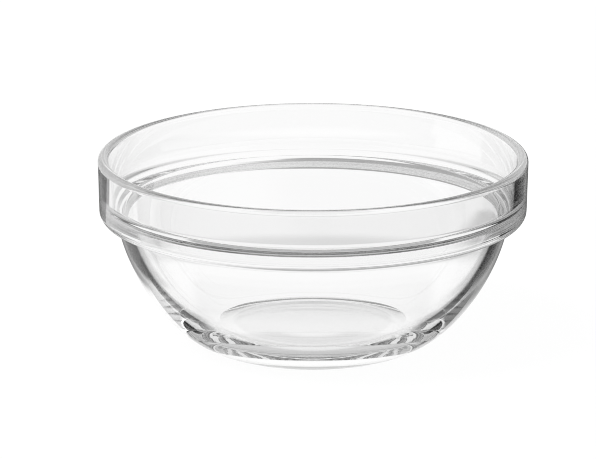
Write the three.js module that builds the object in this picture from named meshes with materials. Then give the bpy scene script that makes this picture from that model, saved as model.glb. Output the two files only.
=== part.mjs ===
// A clear pressed-glass sauce bowl that stacks inside others of its kind.
// Units are millimetres, +Z is up, and the origin is the middle of the foot, on the table.
import * as THREE from 'three';

// Overall sizes
const rimRadius = 50; // outside of the lip, the widest point
const bowlHeight = 45; // table to the top of the lip
const lipThickness = 2.55; // the lip is a full round of this thickness

// Stacking collar, the upright band round the top
const collarHeight = 14.6; // underside of the shoulder to the top of the lip
const collarTaper = 0.4; // radius lost from the lip down to the shoulder, so that the mould lets go
const collarWall = 2.6; // glass at the bottom of the collar
const collarEdgeRound = 2; // bottom outer edge of the collar
const stackClearance = 1.75; // gap round the body of a bowl that stands in the lip of the next

// Shoulder: its flat underside sits on the lip of the next bowl, and its top is a ledge inside
const shoulderThickness = 4.5; // glass over the underside, before the hollow takes its corner
const ledgeDrop = 1.6; // fall of the inside ledge towards the middle
const ledgeCornerRound = 3; // wide hollow where the collar runs into the ledge
const ledgeEdgeRound = 0.6; // where the ledge turns down into the bowl
const shoulderCornerRound = 1.3; // hollow where the body meets the underside

// Body, a smooth curve on each side of the wall
const bodyTopWall = 2.05; // glass just under the shoulder
const bodyTopAngle = 78.8; // degrees from level, outside, under the shoulder
const bodyFootAngle = 16.7; // degrees from level, outside, at the foot
const bodyTopArm = 13.6; // how far the outside keeps its direction below the shoulder
const bodyFootArm = 10; // how far it keeps its direction above the foot
const insideTopAngle = 82.8; // degrees from level, inside, below the ledge
const insideTopArm = 14.6; // how far the inside keeps its direction below the ledge
const insideFloorArm = 13.2; // how far it runs on level past the flat floor

// Foot and floor
const footRadius = 23.5; // outside of the flat ring that stands on the table
const footRingWidth = 3.7; // flat ring
const puntDepth = 0.4; // hollow under the floor, with a wall that slopes at 45 degrees
const puntEdgeRound = 0.3; // edges of that hollow
const floorHeight = 3.3; // inside floor above the table
const floorRadius = 17.4; // flat part of the inside floor

// Places that follow from those sizes
const shoulderHeight = bowlHeight - collarHeight;
const collarFootRadius = rimRadius - collarTaper;
const lipInnerRadius = rimRadius - lipThickness;
const lipCentreRadius = rimRadius - lipThickness / 2;
const lipCentreHeight = bowlHeight - lipThickness / 2;
const bodyTopRadius = lipInnerRadius - stackClearance;

// Fineness of the surface
const turnSegments = 72;
const wallSteps = 10;
const lipSteps = 10;
const roundSteps = 4;

const glass = new THREE.MeshStandardMaterial({
  color: 0xf4f8f7,
  roughness: 0.04,
  metalness: 0,
  transparent: true,
  opacity: 0.35,
});

// A point of the bowl's section: its distance from the axis and its height.
function sectionPoint(radius, height) {
  return new THREE.Vector2(radius, height);
}

// The direction of a line that climbs outwards at an angle from level.
function outwardClimb(degrees) {
  const angle = THREE.MathUtils.degToRad(degrees);
  return sectionPoint(Math.cos(angle), Math.sin(angle));
}

// A circular arc from one angle to another, counted from outwards and turning upwards.
function arc(centre, radius, startAngle, endAngle, steps) {
  const clockwise = endAngle < startAngle;
  const curve = new THREE.EllipseCurve(centre.x, centre.y, radius, radius, startAngle, endAngle, clockwise);
  return curve.getPoints(steps);
}

// The arc that replaces a corner between two straight runs, touching both.
function roundCorner(before, corner, after, radius) {
  const back = before.clone().sub(corner).normalize();
  const ahead = after.clone().sub(corner).normalize();
  const halfAngle = Math.acos(THREE.MathUtils.clamp(back.dot(ahead), -1, 1)) / 2;
  const bisector = back.clone().add(ahead).normalize();
  const centre = corner.clone().addScaledVector(bisector, radius / Math.sin(halfAngle));
  const touch = radius / Math.tan(halfAngle);
  const start = corner.clone().addScaledVector(back, touch).sub(centre).angle();
  const end = corner.clone().addScaledVector(ahead, touch).sub(centre).angle();
  const turn = Math.atan2(Math.sin(end - start), Math.cos(end - start));
  return arc(centre, radius, start, start + turn, roundSteps);
}

// A wall curve from one end to the other, each end with its direction and the length of its arm.
function wallCurve(start, startArm, end, endArm) {
  const curve = new THREE.CubicBezierCurve(start, start.clone().add(startArm), end.clone().add(endArm), end);
  return curve.getPoints(wallSteps);
}

// Underside from the axis to the outside of the foot: the hollow, its sloped wall and the flat ring.
function footPoints() {
  const ringInner = sectionPoint(footRadius - footRingWidth, 0);
  const ringOuter = sectionPoint(footRadius, 0);
  const puntCentre = sectionPoint(0, puntDepth);
  const puntEdge = sectionPoint(ringInner.x - puntDepth, puntDepth);
  return [
    puntCentre,
    ...roundCorner(puntCentre, puntEdge, ringInner, puntEdgeRound),
    ...roundCorner(puntEdge, ringInner, ringOuter, puntEdgeRound),
  ];
}

// Outside of the bowl from the foot to the lip: the body, the shoulder's underside and the collar.
function outsidePoints() {
  const footEdge = sectionPoint(footRadius, 0);
  const bodyTop = sectionPoint(bodyTopRadius, shoulderHeight);
  const collarFoot = sectionPoint(collarFootRadius, shoulderHeight);
  const collarTop = sectionPoint(rimRadius, lipCentreHeight);
  const topDirection = outwardClimb(bodyTopAngle);
  const belowTop = bodyTop.clone().sub(topDirection);
  const shoulderCorner = roundCorner(belowTop, bodyTop, collarFoot, shoulderCornerRound);
  const body = wallCurve(
    footEdge,
    outwardClimb(bodyFootAngle).multiplyScalar(bodyFootArm),
    shoulderCorner[0],
    topDirection.clone().multiplyScalar(-bodyTopArm),
  );
  return [
    ...body,
    ...shoulderCorner.slice(1),
    ...roundCorner(bodyTop, collarFoot, collarTop, collarEdgeRound),
  ];
}

// Inside of the bowl from the lip to the axis: the collar, the ledge, the wall and the flat floor.
function insidePoints() {
  const ledgeHeight = shoulderHeight + shoulderThickness;
  const collarTop = sectionPoint(lipInnerRadius, lipCentreHeight);
  const ledgeCorner = sectionPoint(collarFootRadius - collarWall, ledgeHeight);
  const ledgeEdge = sectionPoint(bodyTopRadius - bodyTopWall, ledgeHeight - ledgeDrop);
  const floorEdge = sectionPoint(floorRadius, floorHeight);
  const topDirection = outwardClimb(insideTopAngle);
  const belowEdge = ledgeEdge.clone().sub(topDirection);
  const ledgeRound = roundCorner(ledgeCorner, ledgeEdge, belowEdge, ledgeEdgeRound);
  const wall = wallCurve(
    ledgeRound[ledgeRound.length - 1],
    topDirection.clone().multiplyScalar(-insideTopArm),
    floorEdge,
    sectionPoint(insideFloorArm, 0),
  );
  return [
    ...roundCorner(collarTop, ledgeCorner, ledgeEdge, ledgeCornerRound),
    ...ledgeRound.slice(0, -1),
    ...wall,
    sectionPoint(0, floorHeight),
  ];
}

// The whole bowl is one pressing, a section turned about the upright axis.
function glassBowl() {
  const lipCentre = sectionPoint(lipCentreRadius, lipCentreHeight);
  const section = [
    ...footPoints(),
    ...outsidePoints(),
    ...arc(lipCentre, lipThickness / 2, 0, Math.PI, lipSteps),
    ...insidePoints(),
  ];
  const geometry = new THREE.LatheGeometry(section, turnSegments);
  geometry.rotateX(Math.PI / 2);
  const bowl = new THREE.Mesh(geometry, glass);
  bowl.name = 'glass_bowl';
  return bowl;
}

const sauceBowl = new THREE.Group();
sauceBowl.add(glassBowl());

export default sauceBowl;
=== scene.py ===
"""A clear pressed-glass sauce bowl on a pale floor, in soft studio light."""

from collections import namedtuple
from math import acos, atan2, cos, pi, radians, sin, tan

import bpy
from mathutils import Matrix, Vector
from mathutils.geometry import interpolate_bezier


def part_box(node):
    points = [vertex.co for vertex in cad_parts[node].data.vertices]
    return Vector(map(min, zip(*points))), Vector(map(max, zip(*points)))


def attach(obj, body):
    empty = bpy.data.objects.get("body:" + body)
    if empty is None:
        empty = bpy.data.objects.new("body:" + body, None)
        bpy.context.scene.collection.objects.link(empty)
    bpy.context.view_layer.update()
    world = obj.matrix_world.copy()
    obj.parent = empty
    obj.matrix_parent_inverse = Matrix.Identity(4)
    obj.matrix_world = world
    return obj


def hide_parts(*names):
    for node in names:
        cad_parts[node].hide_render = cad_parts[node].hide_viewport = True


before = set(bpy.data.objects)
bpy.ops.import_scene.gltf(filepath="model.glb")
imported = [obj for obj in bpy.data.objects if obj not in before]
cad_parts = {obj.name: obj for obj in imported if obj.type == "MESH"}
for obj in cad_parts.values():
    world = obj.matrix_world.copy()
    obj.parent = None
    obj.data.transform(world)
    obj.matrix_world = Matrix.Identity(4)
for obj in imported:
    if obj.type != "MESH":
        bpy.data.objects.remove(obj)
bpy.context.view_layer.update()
bowl_low, bowl_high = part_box("glass_bowl")

MM = 0.001

# Overall sizes, from the frame
RIM_RADIUS = (bowl_high.x - bowl_low.x) / 2
BOWL_HEIGHT = bowl_high.z

# Lip and stacking collar
LIP_THICKNESS = 2.55 * MM
COLLAR_HEIGHT = 14.6 * MM
COLLAR_TAPER = 0.4 * MM
COLLAR_WALL = 2.6 * MM
COLLAR_EDGE_ROUND = 2.0 * MM
STACK_CLEARANCE = 1.75 * MM

# Shoulder and the ledge inside it
SHOULDER_THICKNESS = 4.5 * MM
SHOULDER_CORNER_ROUND = 1.3 * MM
LEDGE_DROP = 1.6 * MM
LEDGE_CORNER_ROUND = 3.0 * MM
LEDGE_EDGE_ROUND = 0.6 * MM

# Body
BODY_TOP_WALL = 2.05 * MM
BODY_TOP_ANGLE = radians(78.8)
BODY_TOP_ARM = 13.6 * MM
BODY_FOOT_ANGLE = radians(16.7)
BODY_FOOT_ARM = 10.0 * MM
INSIDE_TOP_ANGLE = radians(82.8)
INSIDE_TOP_ARM = 14.6 * MM
INSIDE_FLOOR_ARM = 13.2 * MM

# Foot and floor
FOOT_RADIUS = 23.5 * MM
FOOT_RING_WIDTH = 3.7 * MM
PUNT_DEPTH = 0.4 * MM
PUNT_STEPS = 16
FLOOR_HEIGHT = 3.3 * MM
FLOOR_RADIUS = 17.4 * MM

# Places that follow from those sizes
SHOULDER_HEIGHT = BOWL_HEIGHT - COLLAR_HEIGHT
COLLAR_FOOT_RADIUS = RIM_RADIUS - COLLAR_TAPER
LIP_INNER_RADIUS = RIM_RADIUS - LIP_THICKNESS
LIP_CENTRE_RADIUS = RIM_RADIUS - LIP_THICKNESS / 2
LIP_CENTRE_HEIGHT = BOWL_HEIGHT - LIP_THICKNESS / 2
BODY_TOP_RADIUS = LIP_INNER_RADIUS - STACK_CLEARANCE

# Fineness of the turned glass
TURN_STEPS = 240
WALL_STEPS = 56
LIP_STEPS = 24
ROUND_STEPS = 10
LONG_RUN = 1.0 * MM
END_LOOP = 0.06 * MM
MERGE_DISTANCE = 0.002 * MM

# Glass: its tint and polish vary in soft clouds, and its waves run round the bowl and fade out near the foot
GLASS_IOR = 1.52
GLASS_CLEAREST = 1.0
GLASS_SPREAD = 0.01
POLISH_ROUGHNESS = 0.012
CLOUD_WIDTH = 12.0 * MM
WAVE_WIDTH = 3.0 * MM
WAVE_TURNS = 3.0
WAVE_DEPTH = 0.0015 * MM
WAVE_AXIS_RADIUS = 4.0 * MM
WAVE_FADE = (9.0 * MM, 16.0 * MM)

# The photograph's frame and view
FRAME_WIDTH = 596
FRAME_HEIGHT = 459
LIP_CENTRE_COLUMN = 313.0
LIP_CENTRE_ROW = 160.45
RIM_RADIUS_PIXELS = 215.4
VIEW_DISTANCE = 1.6
VIEW_HEIGHT_ANGLE = radians(14.78)
SENSOR_WIDTH = 36.0

# Floor
FLOOR_SIZE = 12.0
FLOOR_GAP = 0.05 * MM
FLOOR_COLOUR = (0.9, 0.9, 0.9, 1)
SHADOW_SHARE = 0.03

# Soft lamp
LAMP_PLACE = (-0.9, -0.5, 1.6)
LAMP_SIZE = 1.0
LAMP_POWER = 55.0

# The studio that the glass shows is painted on the floor and sky for the glass alone, and the camera sees
# them white:
# painted shadows, dark reflections and lights. It differs for rays that the glass mirrored never, once,
# often, deep in the wall or without end. A pair gives where a soft edge starts and ends, or what a painted
# patch spans. SOFT is the width of a soft edge, SLOPE is the slant of an edge, and DARK is the share of
# light that is taken away.
ONCE_TURNS = (0.2, 0.8)
OFTEN_TURNS = (1.2, 1.8)
DEEP_TURNS = (7.0, 12.0)
ENDLESS_TURNS = (24.0, 32.0)
ENDLESS_LEVEL = 0.6

# Parts of the floor that several pictures share
UNDER_EDGE = (18.4 * MM, 19.6 * MM)
BEHIND_SLOPE = 2.1
BEHIND_SOFT = 20 * MM

# Dark patches painted on the floor for the glass alone, for rays that were mirrored once: painted shadow
# near and under the bowl, and painted dark reflections beside and round it
PAINTED_DARK_SLANT = 0.75
PAINTED_DARK_SOFT = 10 * MM
PAINTED_DARK_END = (56 * MM, 62 * MM)
PAINTED_RIGHT_EDGE = (38 * MM, 54 * MM)
PAINTED_RIGHT_REACH = 100 * MM
PAINTED_RIGHT_DARK = 0.97
PAINTED_LEFT_EDGE = (48 * MM, 54 * MM)
PAINTED_LEFT_REACH = 71 * MM
PAINTED_LEFT_END = (100 * MM, 115 * MM)
PAINTED_LEFT_DARK = 0.92
SIDES_SLOPE = 0.577
SIDES_SOFT = 5 * MM
# A strip of painted shadow on the floor beside the bowl, seen only in the glass
NEAR_STRIP = (40 * MM, 50 * MM)
NEAR_STRIP_SOFT = 2.5 * MM
NEAR_STRIP_END = (66 * MM, 72 * MM)
NEAR_STRIP_DARK = 0.97
# Painted shade on the floor just in front of the bowl, seen only in the glass
PAINTED_FRONT_SHADE = (42 * MM, 64 * MM)
PAINTED_FRONT_SHADE_SOFT = 4 * MM
PAINTED_FRONT_SHADE_DARK = 0.5
# A dark ring painted on the floor, as a dark reflection for the glass
FAR_RING = (125 * MM, 175 * MM)
FAR_RING_SOFT = 12 * MM
FAR_RING_DARK = 0.95
RING_GAP_SLOPE = 1.2
RING_GAP_SOFT = 5 * MM
RING_GAP_FRONT = (-20 * MM, -10 * MM)
# Painted shadow on the floor under the bowl, as the glass shows it
UNDER_DARK = 0.5

# Shades on the floor, for rays that only went through the glass
UNDER_SHADE_DARK = 0.1
UNDER_FRONT = (13 * MM, 30 * MM)
UNDER_FRONT_SOFT = 4 * MM
UNDER_FRONT_SLOPE = 0.5
UNDER_FRONT_EDGE = (0, 6 * MM)
UNDER_FRONT_DARK = 0.25
SHADE_RING = (68 * MM, 76 * MM)
SHADE_RING_SOFT = 10 * MM
SHADE_RING_DARK = 0.2
RIGHT_SHADE = (72 * MM, 110 * MM)
RIGHT_SHADE_SOFT = 8 * MM
RIGHT_SHADE_INNER_SLOPE = 0.47
RIGHT_SHADE_INNER_EDGE = (0, 10 * MM)
RIGHT_SHADE_OUTER_SLOPE = 1.7
RIGHT_SHADE_OUTER_EDGE = (0, 20 * MM)
RIGHT_SHADE_DARK = 0.35
FAR_SHADE_START = (300 * MM, 400 * MM)
FAR_SHADE_LEFT_SLOPE = 0.02
FAR_SHADE_LEFT_SOFT = 10 * MM
FAR_SHADE_RIGHT_SLOPE = 0.25
FAR_SHADE_RIGHT_SOFT = 20 * MM
FAR_SHADE_DARK = 0.6

# Floor for rays that were mirrored more often, painted darker than the white floor, lighter behind the bowl
# and with the painted dark patch on the right
OFTEN_FLOOR = 0.58
OFTEN_FLOOR_BEHIND = 0.25
OFTEN_FLOOR_PAINTED_DARK = 0.8
DEEP_FLOOR = 0.04
DEEP_FLOOR_BEHIND = 0.45

# Sky, by the parts of a direction of length 1: east is to the right, north is behind the bowl
BACK_SKY = (0.2, 0.7)
# Sky for rays mirrored once: painted grey, lighter behind the bowl and darker to the left and in front
ONCE_SKY = 0.75
ONCE_SKY_BACK = 0.23
LEFT_FRONT_SKY = (0.2, 0.8)
LEFT_FRONT_DARK = 0.4
# Sky for rays mirrored often: painted grey, with painted lights in a band and overhead
OFTEN_SKY = 0.25
BAND_HEIGHT = (0.57, 0.82)
BAND_SOFT = 0.06
BAND_LEVEL = 0.5
BAND_BACK_LEVEL = 0.23
OVERHEAD = (0.82, 0.88)
OVERHEAD_LEVEL = 0.4
OVERHEAD_RIGHT_EDGE = (-0.3, 0.3)
OVERHEAD_RIGHT_LEVEL = 0.2
DEEP_SKY = 0.02
LOW_SKY_START = (0.02, 0.06)
LOW_SKY_TOP = 0.3
LOW_SKY_FRONT_RISE = 0.2
LOW_SKY_TOP_SOFT = 0.07
LOW_SKY_SIDE_ANGLE = radians(50)
LOW_SKY_SIDE_SOFT = 0.03
LOW_SKY_LEVEL = 0.3
LOW_SKY_RIGHT_LEVEL = 0.7
# Two bright patches painted in the sky behind the bowl, as lights that only the glass shows
HIGH_GLOW_HEIGHT = (0.66, 0.8)
HIGH_GLOW_SOFT = 0.03
HIGH_GLOW_LEVEL = 0.42
BACK_GLOW_NORTH = (0.35, 0.5)
BACK_GLOW_HEIGHT = (0.18, 0.4)
BACK_GLOW_SOFT = 0.03
BACK_GLOW_LEVEL = 0.8
# Painted darker patch in the sky low behind the bowl, seen through the glass
DUSK_EAST = (0, 0.22)
DUSK_EAST_SOFT = 0.05
DUSK_NORTH = (0.6, 0.8)
DUSK_TOP = (0.35, 0.5)
DUSK_DARK = 0.6

# Render
LIGHT_BOUNCES = 100
PIXEL_FILTER_WIDTH = 1.0

# A place on the floor: its distance from the bowl's axis, and how far it is right, behind and to either side
Place = namedtuple("Place", "radius east north aside")


class Socket:
    """A shader socket. Arithmetic on it adds Math nodes, and node() adds any other kind."""

    def __init__(self, tree, output=None):
        self.tree = tree
        self.output = output

    def node(self, kind, settings=None, inputs=None, output=0):
        made = self.tree.nodes.new(kind)
        for name, value in (settings or {}).items():
            setattr(made, name, value)
        for name, value in (inputs or {}).items():
            if isinstance(value, Socket):
                self.tree.links.new(value.output, made.inputs[name])
            else:
                made.inputs[name].default_value = value
        return Socket(self.tree, made.outputs[output] if made.outputs else None)

    def math(self, operation, first, second):
        return self.node("ShaderNodeMath", {"operation": operation}, {0: first, 1: second})

    def smooth(self, low, high):
        """0 below low, 1 above high, and a smooth step between them."""
        settings = {"interpolation_type": "SMOOTHSTEP"}
        return self.node("ShaderNodeMapRange", settings, {"Value": self, "From Min": low, "From Max": high})

    def __add__(self, other):
        return self.math("ADD", self, other)

    __radd__ = __add__

    def __mul__(self, other):
        return self.math("MULTIPLY", self, other)

    __rmul__ = __mul__

    def __truediv__(self, other):
        return self.math("DIVIDE", self, other)

    def __sub__(self, other):
        return self.math("SUBTRACT", self, other)

    def __rsub__(self, other):
        return self.math("SUBTRACT", other, self)


def section_point(radius, height):
    """A point of the bowl's section, in the XZ plane."""
    return Vector((radius, 0, height))


def outward_climb(angle):
    """The direction of a line that climbs outwards at an angle from level."""
    return section_point(cos(angle), sin(angle))


def arc(centre, radius, start, turn, steps):
    angles = [start + turn * step / steps for step in range(steps + 1)]
    return [centre + radius * outward_climb(angle) for angle in angles]


def round_corner(before, corner, after, radius):
    """The arc that replaces a corner between two straight runs, touching both."""
    back = (before - corner).normalized()
    ahead = (after - corner).normalized()
    half_angle = acos(max(-1, min(1, back.dot(ahead)))) / 2
    centre = corner + (back + ahead).normalized() * radius / sin(half_angle)
    touch = radius / tan(half_angle)
    first = corner + back * touch - centre
    last = corner + ahead * touch - centre
    start = atan2(first.z, first.x)
    turn = atan2(last.z, last.x) - start
    turn = atan2(sin(turn), cos(turn))
    return arc(centre, radius, start, turn, ROUND_STEPS)


def wall_curve(start, start_arm, end, end_arm):
    return interpolate_bezier(start, start + start_arm, end + end_arm, end, WALL_STEPS + 1)


def foot_points():
    """Underside from the axis to the flat ring: a shallow dished hollow."""
    ring_inner = FOOT_RADIUS - FOOT_RING_WIDTH
    shares = [step / PUNT_STEPS for step in range(PUNT_STEPS + 1)]
    return [section_point(ring_inner * share, PUNT_DEPTH * (1 - share * share)) for share in shares]


def outside_points():
    """Outside from the foot to the lip: the body, the shoulder's underside and the collar."""
    foot_edge = section_point(FOOT_RADIUS, 0)
    body_top = section_point(BODY_TOP_RADIUS, SHOULDER_HEIGHT)
    collar_foot = section_point(COLLAR_FOOT_RADIUS, SHOULDER_HEIGHT)
    collar_top = section_point(RIM_RADIUS, LIP_CENTRE_HEIGHT)
    top_direction = outward_climb(BODY_TOP_ANGLE)
    shoulder_corner = round_corner(body_top - top_direction, body_top, collar_foot, SHOULDER_CORNER_ROUND)
    body = wall_curve(
        foot_edge,
        outward_climb(BODY_FOOT_ANGLE) * BODY_FOOT_ARM,
        shoulder_corner[0],
        top_direction * -BODY_TOP_ARM,
    )
    return [
        *body,
        *shoulder_corner[1:],
        *round_corner(body_top, collar_foot, collar_top, COLLAR_EDGE_ROUND),
    ]


def inside_points():
    """Inside from the lip to the axis: the collar, the ledge, the wall and the flat floor."""
    ledge_height = SHOULDER_HEIGHT + SHOULDER_THICKNESS
    collar_top = section_point(LIP_INNER_RADIUS, LIP_CENTRE_HEIGHT)
    ledge_corner = section_point(COLLAR_FOOT_RADIUS - COLLAR_WALL, ledge_height)
    ledge_edge = section_point(BODY_TOP_RADIUS - BODY_TOP_WALL, ledge_height - LEDGE_DROP)
    top_direction = outward_climb(INSIDE_TOP_ANGLE)
    ledge_round = round_corner(ledge_corner, ledge_edge, ledge_edge - top_direction, LEDGE_EDGE_ROUND)
    wall = wall_curve(
        ledge_round[-1],
        top_direction * -INSIDE_TOP_ARM,
        section_point(FLOOR_RADIUS, FLOOR_HEIGHT),
        section_point(INSIDE_FLOOR_ARM, 0),
    )
    return [
        *round_corner(collar_top, ledge_corner, ledge_edge, LEDGE_CORNER_ROUND),
        *ledge_round[:-1],
        *wall,
        section_point(0, FLOOR_HEIGHT),
    ]


def bowl_section():
    lip_centre = section_point(LIP_CENTRE_RADIUS, LIP_CENTRE_HEIGHT)
    return [
        *foot_points(),
        *outside_points(),
        *arc(lip_centre, LIP_THICKNESS / 2, 0, pi, LIP_STEPS),
        *inside_points(),
    ]


def keep_runs_straight(section):
    """Adds a point near each end of a long straight run, so that smooth shading doesn't bend the run."""
    points = [section[0]]
    for here, there in zip(section, section[1:]):
        run = there - here
        if run.length > LONG_RUN:
            inset = run.normalized() * END_LOOP
            points += [here + inset, there - inset]
        points.append(there)
    return points


def deselect_all():
    bpy.ops.object.select_all(action="DESELECT")


def turned_piece(name, section):
    """A solid turned about the Z axis from a section that starts and ends on it."""
    deselect_all()
    bpy.ops.mesh.primitive_plane_add(size=MM, location=(0, 0, 0))
    piece = bpy.context.object
    piece.name = name
    bpy.ops.object.mode_set(mode="EDIT")
    bpy.ops.mesh.merge(type="CENTER")
    bpy.ops.transform.translate(value=section[0])
    for here, there in zip(section, section[1:]):
        bpy.ops.mesh.extrude_region_move(TRANSFORM_OT_translate={"value": there - here})
    bpy.ops.mesh.select_all(action="SELECT")
    bpy.ops.mesh.spin(steps=TURN_STEPS, angle=2 * pi, center=(0, 0, 0), axis=(0, 0, 1))
    bpy.ops.mesh.select_all(action="SELECT")
    bpy.ops.mesh.remove_doubles(threshold=MERGE_DISTANCE)
    bpy.ops.mesh.normals_make_consistent(inside=False)
    bpy.ops.object.mode_set(mode="OBJECT")
    bpy.ops.object.shade_smooth()
    return piece


def blank_material(name):
    """A material with no nodes, and a socket to add them with."""
    material = bpy.data.materials.new(name)
    material.use_nodes = True
    material.node_tree.nodes.clear()
    return material, Socket(material.node_tree)


def split(start, vector):
    axes = start.node("ShaderNodeSeparateXYZ", None, {0: vector}).output.node.outputs
    return [Socket(start.tree, axes[name]) for name in "XYZ"]


def soft_noise(start, place, scale):
    return start.node("ShaderNodeTexNoise", None, {"Vector": place, "Scale": scale, "Detail": 0.0})


def clear_glass():
    """Colourless glass with the faint waves that pressing leaves, drawn out round the bowl."""
    material, start = blank_material("clear_pressed_glass")
    place = start.node("ShaderNodeTexCoord", output="Object")
    east, north, height = split(start, place)
    radius = start.math("SQRT", east * east + north * north, 0)
    outward = start.math("MAXIMUM", radius, WAVE_AXIS_RADIUS)
    wave_axes = {
        "X": east / outward * WAVE_TURNS,
        "Y": north / outward * WAVE_TURNS,
        "Z": (radius + height) * (1 / WAVE_WIDTH),
    }
    wave_place = start.node("ShaderNodeCombineXYZ", None, wave_axes)
    waves = soft_noise(start, wave_place, 1.0) * height.smooth(*WAVE_FADE)
    clouds = soft_noise(start, place, 1 / CLOUD_WIDTH)
    bump = start.node("ShaderNodeBump", None, {"Strength": 1.0, "Distance": WAVE_DEPTH, "Height": waves})
    shader_inputs = {
        "Base Color": GLASS_CLEAREST - GLASS_SPREAD * clouds,
        "Roughness": POLISH_ROUGHNESS * clouds,
        "IOR": GLASS_IOR,
        "Transmission Weight": 1.0,
        "Normal": bump,
    }
    glass = start.node("ShaderNodeBsdfPrincipled", None, shader_inputs)
    start.node("ShaderNodeOutputMaterial", None, {"Surface": glass})
    return material


def make_bowl():
    bowl = turned_piece("clear_bowl", keep_runs_straight(bowl_section()))
    bowl.data.materials.append(clear_glass())
    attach(bowl, "root")
    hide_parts("glass_bowl")


def light_path(start, kind):
    return start.node("ShaderNodeLightPath", output=kind)


def blend(first, second, share):
    return first + (second - first) * share


def window(value, span, soft):
    """1 inside a span, with a soft edge outside each end."""
    low, high = span
    return value.smooth(low - soft, low) * (1 - value.smooth(high, high + soft))


def past_line(value, soft):
    """0 below zero and 1 above it, with a soft edge on both sides."""
    return value.smooth(-soft, soft)


def darken(level, amount, painted_patch):
    return level * (1 - amount * painted_patch)


def by_mirrorings(start, through, once, often, deep):
    """Picks a brightness by how often the glass mirrored the ray on its way."""
    turns = light_path(start, "Glossy Depth")
    level = blend(through, once, turns.smooth(*ONCE_TURNS))
    level = blend(level, often, turns.smooth(*OFTEN_TURNS))
    level = blend(level, deep, turns.smooth(*DEEP_TURNS))
    return blend(level, ENDLESS_LEVEL, turns.smooth(*ENDLESS_TURNS))


def white_to_camera(start, level):
    """White where the camera looks straight at it, and the given level in the glass."""
    camera = light_path(start, "Is Camera Ray")
    return camera + (1 - camera) * level


def under_bowl(place):
    # Where the painted shadow under the bowl lies
    return 1 - place.radius.smooth(*UNDER_EDGE)


def behind_bowl(place):
    return past_line(place.north - BEHIND_SLOPE * place.aside, BEHIND_SOFT)


def painted_dark_beside(aside, north, edge, reach):
    """A dark patch painted on the floor beside the bowl, seen only in the glass: painted shadow and a
    painted dark reflection. It has a straight inner edge along the view and a slanted outer one.
    """
    outer = past_line(north - PAINTED_DARK_SLANT * aside + reach, PAINTED_DARK_SOFT)
    return aside.smooth(*edge) * outer * (1 - (aside - north).smooth(*PAINTED_DARK_END))


def painted_dark_right(place):
    return painted_dark_beside(place.east, place.north, PAINTED_RIGHT_EDGE, PAINTED_RIGHT_REACH)


def painted_dark_left(place):
    painted_patch = painted_dark_beside(0 - place.east, place.north, PAINTED_LEFT_EDGE, PAINTED_LEFT_REACH)
    return painted_patch * (1 - place.radius.smooth(*PAINTED_LEFT_END))


def far_ring(place):
    """A dark ring painted on the floor round the bowl, a dark reflection that only the glass shows, open
    behind it and on the left.
    """
    left = past_line(0 - place.east - RING_GAP_SLOPE * place.north, RING_GAP_SOFT)
    gap = left * place.north.smooth(*RING_GAP_FRONT)
    return window(place.radius, FAR_RING, FAR_RING_SOFT) * (1 - behind_bowl(place)) * (1 - gap)


def floor_mirrored_once(place):
    """White floor with painted shade that only the glass shows: dark patches beside the bowl, a grey one in
    front and a dark ring farther out.
    """
    beside = past_line(place.north + SIDES_SLOPE * place.aside, SIDES_SOFT)
    # Painted shadow beside the bowl
    near_strip = window(place.aside - place.north, NEAR_STRIP, NEAR_STRIP_SOFT) * beside
    near_strip = near_strip * (1 - place.radius.smooth(*NEAR_STRIP_END))
    painted_front_shade = window(place.radius, PAINTED_FRONT_SHADE, PAINTED_FRONT_SHADE_SOFT) * (1 - beside)
    level = 1 - NEAR_STRIP_DARK * near_strip
    level = darken(level, UNDER_DARK, under_bowl(place))
    level = darken(level, PAINTED_RIGHT_DARK, painted_dark_right(place))
    level = darken(level, PAINTED_LEFT_DARK, painted_dark_left(place))
    level = darken(level, PAINTED_FRONT_SHADE_DARK, painted_front_shade)
    return darken(level, FAR_RING_DARK, far_ring(place))


def right_shade(place):
    """A wedge of shade behind the bowl's right side."""
    inner = (place.east - RIGHT_SHADE_INNER_SLOPE * place.north).smooth(*RIGHT_SHADE_INNER_EDGE)
    outer = (RIGHT_SHADE_OUTER_SLOPE * place.north - place.east).smooth(*RIGHT_SHADE_OUTER_EDGE)
    return inner * outer * window(place.radius, RIGHT_SHADE, RIGHT_SHADE_SOFT)


def far_shade(place):
    """A narrow wedge of shade far behind the bowl, just right of its middle."""
    left = past_line(place.east + FAR_SHADE_LEFT_SLOPE * place.radius, FAR_SHADE_LEFT_SOFT)
    right = past_line(FAR_SHADE_RIGHT_SLOPE * place.north - place.east, FAR_SHADE_RIGHT_SOFT)
    return place.radius.smooth(*FAR_SHADE_START) * left * right


def floor_seen_through(place):
    """White floor, a little darker under the bowl, in a ring round it, on the right and far behind."""
    in_front = (0 - place.north - UNDER_FRONT_SLOPE * place.aside).smooth(*UNDER_FRONT_EDGE)
    under_front = window(place.radius, UNDER_FRONT, UNDER_FRONT_SOFT) * in_front
    level = 1 - UNDER_SHADE_DARK * under_bowl(place)
    level = darken(level, UNDER_FRONT_DARK, under_front)
    level = darken(level, SHADE_RING_DARK, window(place.radius, SHADE_RING, SHADE_RING_SOFT))
    level = darken(level, RIGHT_SHADE_DARK, right_shade(place))
    return darken(level, FAR_SHADE_DARK, far_shade(place))


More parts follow.
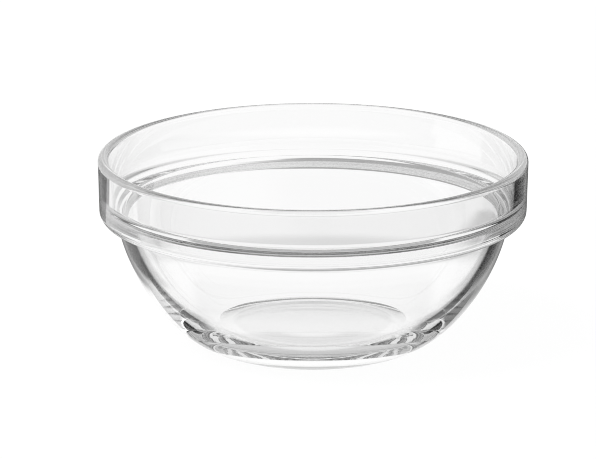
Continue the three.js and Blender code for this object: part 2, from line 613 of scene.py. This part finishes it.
def floor_seen_in_glass(start):
    """How bright the floor is painted for rays that left the glass: painted shade and dark patches that the
    camera doesn't see.
    """
    point = start.node("ShaderNodeTexCoord", output="Object")
    radius = start.node("ShaderNodeVectorMath", {"operation": "LENGTH"}, {0: point}, "Value")
    east, north, _ = split(start, point)
    place = Place(radius, east, north, start.math("ABSOLUTE", east, 0))
    behind = behind_bowl(place)
    # Floors painted darker for rays mirrored often and deep in the glass, lighter behind the bowl
    often = darken(OFTEN_FLOOR + OFTEN_FLOOR_BEHIND * behind, OFTEN_FLOOR_PAINTED_DARK, painted_dark_right(place))
    deep = DEEP_FLOOR + DEEP_FLOOR_BEHIND * behind
    return by_mirrorings(start, floor_seen_through(place), floor_mirrored_once(place), often, deep)


def make_floor():
    deselect_all()
    bpy.ops.mesh.primitive_plane_add(size=FLOOR_SIZE, location=(0, 0, 0))
    bpy.ops.transform.translate(value=(0, 0, -FLOOR_GAP))
    bpy.ops.object.transform_apply(location=True)
    floor = bpy.context.object
    floor.name = "pale_floor"
    material, start = blank_material("pale_floor")
    level = white_to_camera(start, floor_seen_in_glass(start))
    white = start.node("ShaderNodeEmission", None, {"Color": level, "Strength": 1.0})
    chalk = start.node("ShaderNodeBsdfDiffuse", None, {"Color": FLOOR_COLOUR})
    share = light_path(start, "Is Camera Ray") * SHADOW_SHARE
    shaded = start.node("ShaderNodeMixShader", None, {0: share, 1: white, 2: chalk})
    start.node("ShaderNodeOutputMaterial", None, {"Surface": shaded})
    floor.data.materials.append(material)


def sky_mirrored_once(east, north, back):
    # Painted darker sky to the left and in front, which only the glass mirrors
    left_front = (0 - east - north).smooth(*LEFT_FRONT_SKY)
    return darken(ONCE_SKY + ONCE_SKY_BACK * back, LEFT_FRONT_DARK, left_front)


def sky_mirrored_often(east, height, back):
    """Grey sky with a brighter band, and brighter still overhead: painted lights that only the glass shows.
    """
    band = window(height, BAND_HEIGHT, BAND_SOFT) * (BAND_LEVEL + BAND_BACK_LEVEL * back)
    right = east.smooth(*OVERHEAD_RIGHT_EDGE)
    overhead = height.smooth(*OVERHEAD) * (OVERHEAD_LEVEL + OVERHEAD_RIGHT_LEVEL * right)
    return OFTEN_SKY + band + overhead


def sky_mirrored_deep(east, north, height, aside, back):
    """Dark sky with a low bright band at the sides and front, and two bright patches behind: painted lights
    that only the glass shows, deep in its wall.
    """
    low_top = LOW_SKY_TOP + LOW_SKY_FRONT_RISE * (0 - north).smooth(0, 1)
    low = height.smooth(*LOW_SKY_START) * (1 - (height - low_top).smooth(0, LOW_SKY_TOP_SOFT))
    side = cos(LOW_SKY_SIDE_ANGLE) * aside - sin(LOW_SKY_SIDE_ANGLE) * north
    right = past_line(east, LOW_SKY_SIDE_SOFT)
    low_level = low * past_line(side, LOW_SKY_SIDE_SOFT) * (LOW_SKY_LEVEL + LOW_SKY_RIGHT_LEVEL * right)
    high_glow = back * window(height, HIGH_GLOW_HEIGHT, HIGH_GLOW_SOFT)
    back_glow = north.smooth(*BACK_GLOW_NORTH) * window(height, BACK_GLOW_HEIGHT, BACK_GLOW_SOFT)
    return DEEP_SKY + low_level + HIGH_GLOW_LEVEL * high_glow + BACK_GLOW_LEVEL * back_glow


def sky_seen_through(east, north, height):
    """White sky with a painted darker patch low behind the bowl, just right of its middle, which only the
    glass shows.
    """
    patch = window(east, DUSK_EAST, DUSK_EAST_SOFT) * north.smooth(*DUSK_NORTH)
    return 1 - DUSK_DARK * patch * (1 - height.smooth(*DUSK_TOP))


def sky_seen_in_glass(start):
    """How bright the sky is painted for rays that left the glass: painted lights and shade that the camera
    doesn't see.
    """
    direction = start.node("ShaderNodeTexCoord", output="Generated")
    east, north, height = split(start, direction)
    aside = start.math("ABSOLUTE", east, 0)
    back = north.smooth(*BACK_SKY)
    through = sky_seen_through(east, north, height)
    once = sky_mirrored_once(east, north, back)
    often = sky_mirrored_often(east, height, back)
    deep = sky_mirrored_deep(east, north, height, aside, back)
    return by_mirrorings(start, through, once, often, deep)


def make_world():
    world = bpy.data.worlds.new("studio")
    bpy.context.scene.world = world
    world.use_nodes = True
    world.node_tree.nodes.clear()
    start = Socket(world.node_tree)
    level = white_to_camera(start, sky_seen_in_glass(start))
    sky = start.node("ShaderNodeBackground", None, {"Color": level, "Strength": 1.0})
    start.node("ShaderNodeOutputWorld", None, {"Surface": sky})


def make_lamp():
    """A large soft lamp for the shadow. The glass shows the studio's own sky in its place."""
    bpy.ops.object.light_add(type="AREA", location=LAMP_PLACE)
    lamp = bpy.context.object
    to_bowl = -Vector(LAMP_PLACE)
    lamp.rotation_euler = to_bowl.to_track_quat("-Z", "Y").to_euler()
    lamp.data.size = LAMP_SIZE
    lamp.data.energy = LAMP_POWER
    lamp.visible_glossy = False
    lamp.visible_transmission = False


def make_camera():
    """A long lens at the photograph's height, aimed so that the lip lies where the photograph has it."""
    pixel = RIM_RADIUS / RIM_RADIUS_PIXELS
    aside = (LIP_CENTRE_COLUMN - FRAME_WIDTH / 2) * pixel
    below = (FRAME_HEIGHT / 2 - LIP_CENTRE_ROW) * pixel
    back = VIEW_DISTANCE * cos(VIEW_HEIGHT_ANGLE)
    up = LIP_CENTRE_HEIGHT + VIEW_DISTANCE * sin(VIEW_HEIGHT_ANGLE)
    tilt = VIEW_HEIGHT_ANGLE + atan2(below, VIEW_DISTANCE)
    bpy.ops.object.camera_add(location=(-aside, -back, up), rotation=(pi / 2 - tilt, 0, 0))
    camera = bpy.context.object
    camera.data.sensor_width = SENSOR_WIDTH
    camera.data.lens = SENSOR_WIDTH * VIEW_DISTANCE / (FRAME_WIDTH * pixel)
    bpy.context.scene.camera = camera


make_camera()
make_bowl()
make_floor()
make_world()
make_lamp()

bpy.context.scene.view_settings.view_transform = "Standard"
cycles = bpy.context.scene.cycles
cycles.filter_width = PIXEL_FILTER_WIDTH
cycles.max_bounces = LIGHT_BOUNCES
cycles.transmission_bounces = LIGHT_BOUNCES
cycles.glossy_bounces = LIGHT_BOUNCES
